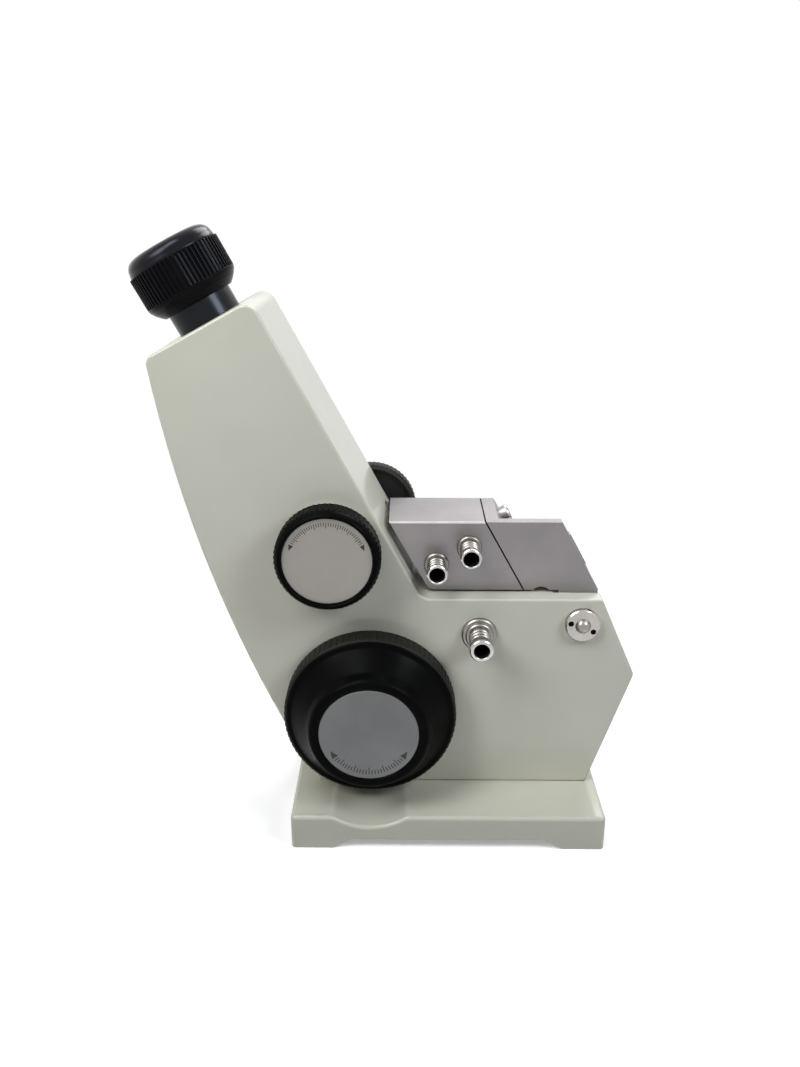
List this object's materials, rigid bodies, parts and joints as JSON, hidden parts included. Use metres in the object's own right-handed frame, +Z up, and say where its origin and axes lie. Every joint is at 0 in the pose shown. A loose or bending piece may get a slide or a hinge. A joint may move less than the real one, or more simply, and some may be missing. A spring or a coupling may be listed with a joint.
{
  "type": "abbe refractometer",
  "caption": "Bench refractometer: leaning cast column on an arched foot, focusing eyepiece, hinged prism box with hose nozzles, and knurled handwheels for scale and dispersion.",
  "frame": {"origin": "on the table, under the middle of the instrument's bounding box", "axes": "+X to the right, from the leaning eyepiece towards the prism box's hinge; the side with the two handwheels faces -Y; +Z up"},
  "size_m": [0.1975, 0.1, 0.24],
  "materials": {
    "housing_paint": "satin enamel on a light casting",
    "base_paint": "satin enamel on cast iron",
    "knob_black": "satin",
    "eyecup_black": "matte",
    "disc_silver": "brushed",
    "nozzle_chrome": "polished",
    "prism_box_metal": "satin",
    "prism_mount_metal": "satin",
    "hinge_steel": "turned",
    "black_lacquer": "matte",
    "bush_brass": "turned",
    "screw_steel": "zinc plated",
    "optical_glass": "polished",
    "silvered_glass": "polished"
  },
  "bodies": {
    "stand": {"base": "base_paint", "base_screws": "screw_steel", "housing": "housing_paint", "cover_plate": "housing_paint", "cover_screws": "screw_steel", "eyepiece_neck": "black_lacquer", "telescope_tube": "black_lacquer", "objective_lens": "optical_glass", "reticle": "optical_glass", "combining_prism": "optical_glass", "reading_tube": "black_lacquer", "reading_objective": "optical_glass", "reading_prism": "optical_glass", "reading_bracket": "black_lacquer", "refraction_prism_seat": "prism_mount_metal", "refraction_prism": "optical_glass", "body_nozzles": "nozzle_chrome", "hinge_shaft": "hinge_steel", "hinge_discs": "prism_mount_metal", "hinge_screws": "screw_steel", "shaft_bushes": "bush_brass", "lock_bush": "black_lacquer", "sector_pivot": "hinge_steel", "compensator_frame": "black_lacquer", "scale_window": "black_lacquer", "condenser_lens": "optical_glass", "flap_pin": "hinge_steel"},
    "adjustment_drive": {"adjustment_knob": "knob_black", "adjustment_disc": "disc_silver", "adjustment_shaft": "hinge_steel"},
    "sector": {"sector_arm": "bush_brass", "scale_plate": "optical_glass", "swing_mirror": "silvered_glass"},
    "dispersion_drive": {"dispersion_knob": "knob_black", "dispersion_disc": "disc_silver", "dispersion_scale_ring": "disc_silver", "dispersion_shaft": "bush_brass"},
    "lower_cell": {"compensator_cell_lower": "bush_brass", "compensator_prism_lower": "optical_glass"},
    "upper_cell": {"compensator_cell_upper": "bush_brass", "compensator_prism_upper": "optical_glass"},
    "eye_cell": {"eyepiece_cell": "black_lacquer", "eye_lens": "optical_glass", "field_lens": "optical_glass"},
    "focus_ring": {"eyepiece_grip": "knob_black", "eyecup": "eyecup_black"},
    "upper_seat": {"upper_prism_seat": "prism_box_metal", "upper_prism": "optical_glass", "upper_nozzles": "nozzle_chrome", "light_hood": "prism_box_metal", "thermometer_seat": "nozzle_chrome", "hood_pins": "hinge_steel"},
    "shade": {"shading_plate": "prism_mount_metal"},
    "reflecting_mirror": {"mirror_frame": "prism_mount_metal", "mirror_glass": "silvered_glass"},
    "lock": {"lock_handwheel": "knob_black", "lock_shaft": "hinge_steel"},
    "condenser": {"condenser_flap": "black_lacquer", "condenser_mirror": "silvered_glass"},
    "calibration": {"calibration_screw": "screw_steel"}
  },
  "joints": [
    {"name": "adjustment_turn", "type": "hinge", "parent": "stand", "child": "adjustment_drive", "pos_m": [-0.00851, 0, 0.05154], "axis": [0, -1, 0], "range_deg": [-63, 63]},
    {"name": "sector_swing", "type": "hinge", "parent": "stand", "child": "sector", "pos_m": [-0.00035, 0, 0.0757], "axis": [0, -1, 0], "range_deg": [-13.6, 13.6]},
    {"name": "dispersion_turn", "type": "hinge", "parent": "stand", "child": "dispersion_drive", "pos_m": [-0.02409, 0, 0.11998], "axis": [0, -1, 0], "range_deg": [-150, 150]},
    {"name": "lower_cell_turn", "type": "hinge", "parent": "stand", "child": "lower_cell", "pos_m": [-0.02409, 0, 0.11998], "axis": [-0.4726, 0, 0.8813], "range_deg": [-50.1, 50.1]},
    {"name": "upper_cell_turn", "type": "hinge", "parent": "stand", "child": "upper_cell", "pos_m": [-0.02409, 0, 0.11998], "axis": [-0.4726, 0, 0.8813], "range_deg": [-50.1, 50.1]},
    {"name": "eye_slide", "type": "slide", "parent": "stand", "child": "eye_cell", "axis": [-0.4726, 0, 0.8813], "range_m": [-0.00101, 0.00101]},
    {"name": "focus_turn", "type": "hinge", "parent": "eye_cell", "child": "focus_ring", "pos_m": [-0.06964, 0, 0.20494], "axis": [-0.4726, 0, 0.8813], "range_deg": [-180, 180]},
    {"name": "seat_open", "type": "hinge", "parent": "stand", "child": "upper_seat", "pos_m": [0.07635, 0, 0.08885], "axis": [0, 1, 0], "range_deg": [0, 90]},
    {"name": "shade_open", "type": "hinge", "parent": "upper_seat", "child": "shade", "pos_m": [0.04868, 0, 0.122], "axis": [0, -1, 0], "range_deg": [0, 60]},
    {"name": "mirror_tilt", "type": "hinge", "parent": "upper_seat", "child": "reflecting_mirror", "pos_m": [0.07939, 0, 0.1025], "axis": [0, 1, 0], "range_deg": [-25, 70]},
    {"name": "lock_turn", "type": "hinge", "parent": "stand", "child": "lock", "pos_m": [-0.00935, 0, 0.12], "axis": [0, 1, 0], "range_deg": [0, 80]},
    {"name": "condenser_tilt", "type": "hinge", "parent": "stand", "child": "condenser", "pos_m": [-0.00231, 0.02825, 0.03706], "axis": [1, 0, 0], "range_deg": [-35, 35]},
    {"name": "calibration_turn", "type": "hinge", "parent": "stand", "child": "calibration", "pos_m": [-0.08496, 0, 0.165], "axis": [-0.9816, 0, -0.1911], "range_deg": [-180, 180]}
  ],
  "couplings": [
    {"joint": "sector_swing", "follows": "adjustment_turn", "ratio": -0.21429},
    {"joint": "lower_cell_turn", "follows": "dispersion_turn", "ratio": 0.33333},
    {"joint": "upper_cell_turn", "follows": "dispersion_turn", "ratio": -0.33333},
    {"joint": "eye_slide", "follows": "focus_turn", "m_per_rad": 0.00031831}
  ]
}
